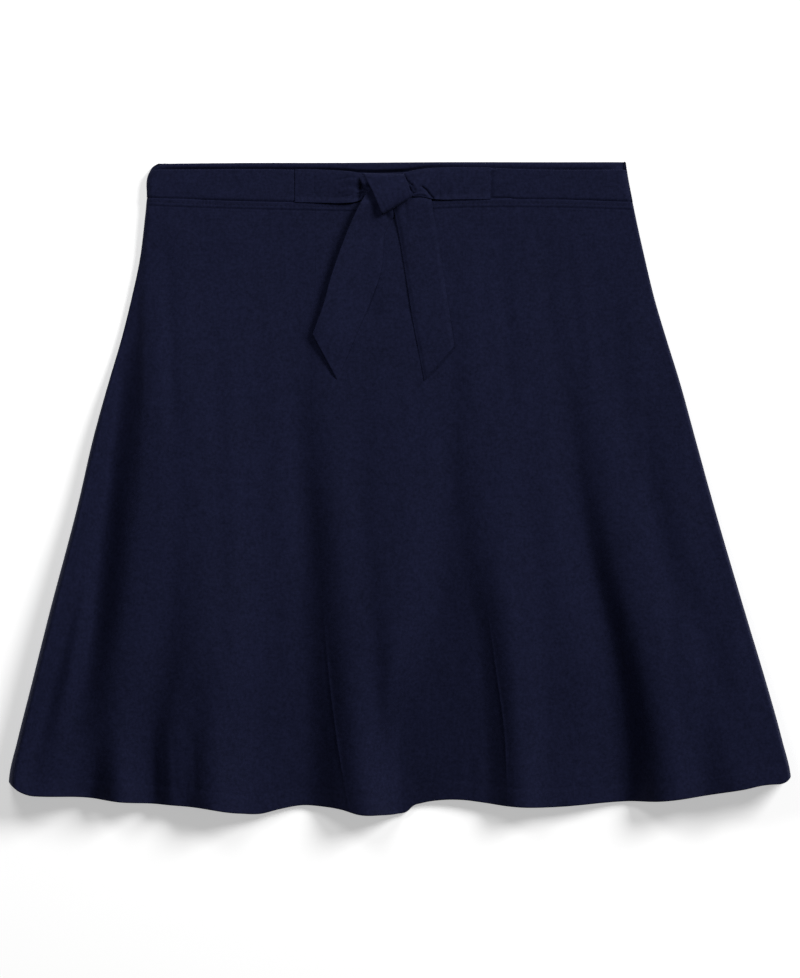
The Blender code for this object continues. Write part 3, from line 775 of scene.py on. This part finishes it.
def buildShorts():
    look = shorts
    levels = np.concatenate([np.linspace(0, 0.745, 52), np.linspace(0.78, 1, 34)])
    top, bottom, hemRow = straight(look["top"]), straight(look["hem"]), look["hem"] - look["hemAllowance"]
    seams, rolls = look["sideHeights"], look["sideRoll"]
    for side, sideName in ((-1, "left"), (1, "right")):
        outer = lambda drop: smooth(look["edges"], drop, 1 if side < 0 else 2)
        inner = lambda drop: side * (0.12 + smooth(look["inseam"], drop - look["crotch"]))
        left, right = (outer, inner) if side < 0 else (inner, outer)
        for outward, layer in ((1, "front"), (-1, "back")):
            base = look[layer + "Height"]

            def face(x, drop):
                wave = np.sin(x / 19.0 + drop / 60) * np.cos(drop / 27.0)
                height = base + 0.13 * wave + 0.1 * softNoise(x, drop, 14, 30, 41)
                if outward > 0:
                    height += look["topRise"] * (1 - ease(drop - look["top"], 0, look["topRiseOver"]))
                return height - outward * (0.15 * peak(x, 0, 1.0) + 0.12 * peak(drop, hemRow, 0.8))

            grid = panelGrid(face, left, right, top, bottom, levels, 58, (1, 1), outward, seams, rolls)
            # above the crotch the inner edge is a flat seam, not a turned one
            edge = slice(-len(turnSteps), None) if side < 0 else slice(0, len(turnSteps))
            drop = cut["length"] / 2 - grid[:, edge, 1]
            flat = face(grid[:, edge, 0], drop)
            grid[:, edge, 2] = np.where(drop < look["crotch"] + 1, flat, grid[:, edge, 2])
            grid = foldUnder(grid, outward, 6, look["hemRadius"])
            piece = gridPiece(f"shorts_{layer}_{sideName}_leg", grid, shortsCloth, outward, look["cloth"])
            dress(piece, "navy_shorts", f"shorts_{layer}_{sideName}")


# The sash: a row is one line across the ribbon, as x, drop and lift at its left end and at its right end, and
# then its crown.
sash = {
    "thickness": 1.0,
    "bandTop": 6.4,  # the height of the band's face under the sash
    "left": (
        (-67.5, 5.2, -0.3, -67.5, 25.9, -0.6, 0), (-58, 5.3, -0.1, -58, 26.1, -0.4, 0.2),
        (-46, 5.8, 0.5, -46.5, 26.4, 0.2, 0.3), (-37, 6.4, 1.5, -38.5, 26.6, 0.7, 0.4),
        (-31, 7, 2.4, -33, 26.3, 1.1, 0.4), (-27.2, 7.6, 2.2, -29.2, 25.9, 0.9, 0),
        (-25.6, 8.2, 0.6, -27.6, 25.4, 0.7, -0.4), (-24.2, 8.8, -2, -26.2, 25, 0.2, -0.9),
        (-21.5, 9.6, -3, -24.2, 24.2, -0.4, -0.9), (-17.5, 10.4, -3, -20.5, 22, -1, -0.5),
    ),
    "right": (
        (57.9, 24, -0.8, 57.9, 4.2, -0.6, 0), (48, 24.1, -0.4, 48, 4.2, -0.1, 0.2),
        (36, 24.2, -0.1, 35, 4.1, 0.5, 0.4), (27, 24.3, 0.3, 22, 4.5, 1.4, 0.5),
        (20, 23.7, 1.2, 14.5, 5.3, 2.2, 0.5), (14, 22.4, 2.2, 8.5, 6.2, 3, 0.3),
        (8, 22.3, 2.6, 3.5, 7.8, 3.2, 0.2), (1.5, 20.5, 2.2, -2.5, 11, 2.8, 0.2),
        (-7, 19.5, 2, -9, 11.5, 2.6, 0.2), (-14, 18.5, 1.7, -16, 12.5, 1.9, 0),
        (-17.2, 18.8, 1.2, -19, 14, 1.2, 0),
    ),
    "knot": (
        (-20.5, 13, 1.6, 0.4, 13.2, 1.6, 0), (-22.2, 10, 2.6, 1.6, 10.4, 2.6, 0),
        (-22.9, 8.8, 3.9, 1.9, 9.3, 3.9, 0), (-23.1, 8.3, 5, 2.2, 8.8, 4.8, 0),
        (-22.6, 9.3, 5.7, 2.8, 9.8, 5.4, 0.1), (-20.8, 12.8, 6.1, 4, 12.8, 5.8, 0.3),
        (-17.7, 18.4, 6.9, 5.3, 16.3, 6.5, 0.4), (-15.1, 24.5, 7.4, 6.2, 19.5, 6.7, 0.4),
        (-12.8, 29.8, 7.5, 6.9, 21.5, 6.4, 0.3), (-11.4, 32.9, 6.8, 7.2, 22.5, 5.6, 0.2),
        (-11, 33.8, 5.2, 7.1, 23, 4.4, 0), (-12, 32.6, 3.6, 5.6, 21.6, 3, 0),
        (-14, 28.8, 2.6, 4, 19, 2.4, 0),
    ),
    "tailLeft": (
        (-16.5, 15, 2.2, -5, 24, 0.6, 0), (-18.4, 16.8, 2.7, -3.6, 28.6, 0.1, 0.2),
        (-21.8, 21.5, 3.3, -3.8, 34.4, 0.1, 0.2), (-25.4, 27.6, 3.8, -7.4, 41, 0.1, 0),
        (-28.6, 34, 4.1, -10, 46.5, 0.2, -0.3), (-32.8, 43.3, 4.3, -10.6, 56, 0.2, -0.7),
        (-38.9, 59.4, 4.5, -12.4, 71, 0.1, -0.9), (-44.3, 75.4, 4.6, -18.8, 89, 0, -0.9),
        (-48.7, 91.5, 4.3, -26, 106, -0.1, -0.7), (-53.2, 104, 3.6, -32.6, 122, -0.3, -0.3),
        (-55.9, 110.9, 2.6, -40.4, 140.2, -0.8, -0.3),
    ),
    "tailRight": (
        (-3.6, 24, 1.3, 12, 19.5, 1, 0), (-4.6, 28, 0.9, 19.2, 23.6, 0.7, 0.4),
        (-3.2, 34, 0.5, 21.3, 32.5, 0.2, 0.5), (0.2, 51, 0, 24.4, 49.8, 0.1, 0.4),
        (5.1, 80.9, 0, 28.8, 78.5, 0, 0.3), (9.2, 106.6, 0, 32.4, 102, 0.1, 0.3),
        (12, 121, 0, 33.8, 112, 0.3, 0.3), (15.6, 140.5, -0.1, 34.8, 118.4, 0.5, 0.2),
    ),
    "marks": {  # height, width, line
        "left": (
            (-1.4, 2, ((-23.4, 11.5), (-21.8, 14.6), (-20.2, 18))),
            (0.9, 0.7, ((-27, 19.6), (-24, 19), (-20.5, 19.4))),
            (0.8, 0.7, ((-25.2, 24.1), (-23.6, 21.6), (-21.4, 21.2))),
            (-1, 1.2, ((-26.2, 23.2), (-25.8, 28))),
            (-0.4, 1, ((-40, 12), (-33, 10.5), (-28.5, 10.8))),
            (0.35, 1.2, ((-38, 19), (-32, 18.2), (-28, 18.8))),
            (-0.3, 0.9, ((-37, 22.6), (-31, 21.8))),
            (-0.2, 0.6, ((-55, 9), (-55.2, 20))),
        ),
        "right": (
            (-0.8, 0.55, ((2.8, 8.7), (5.3, 14.2), (6.9, 18.5), (8.3, 20.7), (10.1, 20.2))),
            (-1.3, 0.8, ((21.2, 23.6), (19.1, 21.5), (16.9, 18.5), (14.3, 16.4))),
            (-0.7, 0.7, ((7.9, 15.2), (6.6, 14.6), (5.6, 13))),
            (0.6, 1, ((8.8, 14.6), (10.6, 17.4))),
            (0.5, 0.8, ((10, 20.8), (16, 20.6), (18.4, 22.4))),
            (-0.25, 0.6, ((25.7, 5.5), (25.2, 23))),
            (-0.2, 0.6, ((37.2, 5.5), (37, 23))),
        ),
        "tailLeft": (
            (0.35, 0.8, ((-18.6, 17.4), (-24.6, 26.6), (-28, 34))),
            (-0.3, 3, ((-15, 30), (-20, 50))),
            (-0.9, 1.8, ((-9.5, 33), (-5.5, 39))),
        ),
        "tailRight": ((-0.4, 1.6, ((3, 26.5), (4, 37))), (-0.2, 3, ((14, 26), (19, 60)))),
    },
}


def sashGround(x, drop):
    # what the sash lies on: the band, and below its seam the skirt
    below = drop - waistSeam(x)
    onSkirt = ease(below, -4.0, 0.5)
    skirt, _ = frontFace(x, np.maximum(drop, 24))  # from its own upper edge down
    skirt += frontCloth["stripProud"] * (1 - ease(below, 3.0, 14.0))
    return sash["bandTop"] * (1 - onSkirt) + skirt * onSkirt


def ribbon(rows, edges, steps, columns, details, marks, ground):
    # a flat tube of cloth along the rows, with round edges, thinned to a share of its thickness towards each
    # of them; details(s, t) adds folds across s and along t
    rows = np.array(rows, float)
    ends, crowns = rows[:, :6].reshape(-1, 2, 3), rows[:, 6]
    lengths = np.linalg.norm(np.diff(ends.mean(axis=1), axis=0), axis=1)
    along = np.concatenate([[0], np.cumsum(lengths + 0.4)])
    places = np.linspace(0, along[-1], steps)
    s = np.linspace(0, 1, columns)[None, :]
    t = (places / along[-1])[:, None]
    line = lambda end, axis: smooth(np.stack([along, ends[:, end, axis]], axis=1), places)[:, None]
    x, drop, lift = (line(0, axis) * (1 - s) + line(1, axis) * s for axis in range(3))
    crown = smooth(np.stack([along, crowns], axis=1), places)[:, None]
    lift += crown * (1 - (2 * s - 1) ** 2) + details(s, t) + marked(x, drop, marks)
    thin = edges[0] + (1 - edges[0]) * ease(s, 0, 0.12), edges[1] + (1 - edges[1]) * ease(1 - s, 0, 0.12)
    half = sash["thickness"] / 2 * (thin[0] * thin[1] * np.ones_like(x))[..., None]
    middle = np.stack([x, cut["length"] / 2 - drop, ground(x, drop) + 0.5 + half[..., 0] + lift], axis=2)
    n = normals(middle, 1)
    if n[..., 2].mean() < 0:
        n = -n
    right = half[:, -1] * unit(middle[:, -1] - middle[:, -2])
    left = half[:, 0] * unit(middle[:, 0] - middle[:, 1])
    n = n * half
    angles = np.linspace(0, math.pi, 7)[1:-1]
    ring = [middle[:, j] + n[:, j] for j in range(columns)]
    ring += [middle[:, -1] + n[:, -1] * math.cos(a) + right * math.sin(a) for a in angles]
    ring += [middle[:, j] - n[:, j] for j in range(columns - 1, -1, -1)]
    ring += [middle[:, 0] - n[:, 0] * math.cos(a) + left * math.sin(a) for a in angles]
    return np.stack(ring, axis=1)


def leftFolds(s, t):  # pinched towards the knot
    folds = 0.5 * peak(s, 0.28, 0.12) - 0.6 * peak(s, 0.5, 0.13) + 0.4 * peak(s, 0.75, 0.12)
    return ease(t, 0.5, 0.95) * folds


def rightFolds(s, t):  # drawn together where it goes behind the knot
    return ease(t, 0.4, 0.85) * (0.5 * peak(s, 0.55, 0.2) - 0.3 * peak(s, 0.8, 0.1))


def knotFolds(s, t):  # a rim along the left edge, and a flat face
    rim = 0.16 * peak(s, 0.02, 0.035) - 0.12 * peak(s, 0.11, 0.05) + 0.2 * peak(s, 1.0, 0.06)
    return rim + 0.1 * np.sin(6 * s + 3 * t) - 0.15 * peak(s, 0.62 - 0.25 * t, 0.05)


def tailFolds(s, t):
    wave = 0.22 * np.sin(4 * s + 5 * t) * ease(t, 0.0, 0.2)
    return wave - 0.25 * peak(s, 0.5, 0.16) * (1 - ease(t, 0.1, 0.45))


def buildSash():
    parts = (  # key, node, thinning of its edges, steps, columns, folds
        ("left", "sash_left", (0.7, 0.8), 110, 56, leftFolds),
        ("right", "sash_right", (0.8, 0.7), 120, 56, rightFolds),
        ("knot", "sash_knot", (0.8, 0.7), 110, 56, knotFolds),
        ("tailLeft", "sash_tail_left", (0.7, 0.2), 130, 44, tailFolds),
        ("tailRight", "sash_tail_right", (0.4, 0.3), 130, 44, tailFolds),
    )
    for key, node, edges, steps, columns, folds in parts:
        ground = (lambda x, drop: sash["bandTop"] + 0 * x) if key == "knot" else sashGround
        marks = sash["marks"].get(key, ())
        grid = ribbon(sash[key], edges, steps, columns, folds, marks, ground)
        dress(gridPiece(node + "_strip", grid, twill, closed=True), "navy_twill", node)


stitching = {
    "thick": 0.14,
    "sides": 6,
    "rings": 6,  # along one stitch
    "waist": {"span": (-158.5, 146.5), "points": 620, "long": 2.3, "gap": 0.7},
    "hem": {"span": (-243, 243), "points": 1400, "long": 0.9, "gap": 4.2},
}


def addStitch(work, at, up, start, long):
    # rings of points along an arch that dips into the cloth at both ends
    thick, sides = stitching["thick"], stitching["sides"]
    turns = [2 * math.pi * q / sides for q in range(sides)]
    rings = []
    for share in np.arange(stitching["rings"]) / (stitching["rings"] - 1):
        arch = math.sin(math.pi * share)
        place = start + share * long
        n = up(place)
        side = unit(np.cross(unit(at(place + 0.05) - at(place - 0.05)), n))
        middle = at(place) + n * (thick * (0.9 * arch - 0.45))
        radius = thick * (0.55 + 0.45 * arch)
        ring = [middle + radius * (side * math.cos(q) + n * math.sin(q)) for q in turns]
        rings.append([work.verts.new(Vector(p) * mm) for p in ring])
    for a, b in zip(rings, rings[1:]):
        for q in range(sides):
            p = (q + 1) % sides
            work.faces.new((a[q], a[p], b[p], b[q]))
    work.faces.new(rings[0][::-1])
    work.faces.new(rings[-1])


def stitchPiece(name, paths, look):
    # a row of stitches along each path of points and normals
    work = bmesh.new()
    for points, normal in paths:
        lengths = lengthAlong(points)
        at = lambda d: np.array([np.interp(d, lengths, points[:, k]) for k in range(3)])
        up = lambda d: np.array([np.interp(d, lengths, normal[:, k]) for k in range(3)])
        place = look["gap"]
        while place + look["long"] < lengths[-1]:
            addStitch(work, at, up, place, look["long"])
            place += look["long"] + look["gap"]
    bmesh.ops.recalc_face_normals(work, faces=work.faces)
    mesh = finishMesh(name, work, thread)
    mesh.shade_smooth()
    dress(addToScene(name, mesh), "navy_twill")


def facePath(face, x, drop, outward, lift=0.0):
    # points and normals along a line on a face
    height = face(x, drop)
    slopeX = (face(x + 0.3, drop) - face(x - 0.3, drop)) / 0.6
    slopeDrop = (face(x, drop + 0.3) - face(x, drop - 0.3)) / 0.6
    normal = unit(np.stack([-slopeX, slopeDrop, np.ones_like(x)], axis=1)) * outward
    points = np.stack([x, cut["length"] / 2 - drop, height], axis=1) + normal * lift
    return points, normal


def buildStitches():
    sides = (  # side, face, hem, outward, how far the hem's stitches stand off
        ("front", frontDetail, hemDrop, 1, -0.1),
        ("back", backDetail, backHemDrop, -1, -0.05),
    )
    look = stitching["waist"]
    x = np.linspace(*look["span"], look["points"])
    for side, face, _, outward, _ in sides:
        paths = [facePath(face, x, waistSeam(x) + below, outward) for below in cut["waistRows"]]
        stitchPiece("waist_stitches_" + side, paths, look)
    look = stitching["hem"]
    x = np.linspace(*look["span"], look["points"])
    for side, face, hem, outward, lift in sides:
        path = facePath(face, x, hem(x) - cut["hemAllowance"], outward, lift)
        stitchPiece("hem_stitches_" + side, [path], look)


studio = {
    "cameraHeight": 4.0,
    "cameraAcross": -0.0004,
    "frameTall": 0.6277,  # metres of garment down the picture's height
    "sensor": 36.0,
    "world": 0.042,
    "floorSize": 6.0,
    "floorBelow": 0.0003,
    "floorShader": {
        "Base Color": (0.92, 0.92, 0.92, 1), "Roughness": 0.9, "Specular IOR Level": 0.0,
        "Emission Color": (1, 1, 1, 1), "Emission Strength": 0.45,  # as if lit from below
    },
    "lamps": (  # name, place, size, power
        ("keyLamp", (2.86, 2.31, 2.54), 1.95, 182),
        ("fillLamp", (-0.35, 0.62, 0.72), 0.4, 2.9),
    ),
}


def buildStudio():
    work = bmesh.new()
    bmesh.ops.create_grid(work, x_segments=1, y_segments=1, size=studio["floorSize"])
    paleFloor, *_ = newMaterial("paleFloor", studio["floorShader"])
    floor = addToScene("floor", finishMesh("floor", work, paleFloor))
    floor.location.z = -studio["floorBelow"]

    scene = bpy.context.scene
    world = bpy.data.worlds.new("studio")
    world.use_nodes = True
    background = world.node_tree.nodes["Background"]
    background.inputs["Color"].default_value = (1, 1, 1, 1)
    background.inputs["Strength"].default_value = studio["world"]
    scene.world = world
    for name, place, size, power in studio["lamps"]:
        lamp = bpy.data.lights.new(name, "AREA")
        lamp.shape = "DISK"
        lamp.size = size
        lamp.energy = power
        holder = addToScene(name, lamp)
        holder.location = place
        holder.rotation_euler = (-Vector(place)).to_track_quat("-Z", "Y").to_euler()
        holder.visible_camera = False

    view = bpy.data.cameras.new("camera")
    view.type = "PERSP"
    view.sensor_width = studio["sensor"]
    view.lens = studio["sensor"] * studio["cameraHeight"] / studio["frameTall"]
    view.clip_end = 60.0
    scene.camera = addToScene("camera", view)
    scene.camera.location = (0.0, studio["cameraAcross"], studio["cameraHeight"])
    scene.view_settings.view_transform = "Standard"
    scene.view_settings.look = "None"


for build, what in (
    (buildFront, "front skirt"),
    (buildBack, "back skirt"),
    (buildBands, "waistband"),
    (buildShorts, "shorts"),
    (buildSash, "sash"),
    (buildStitches, "stitching"),
    (buildStudio, "studio"),
):
    build()
    print(what, "made")
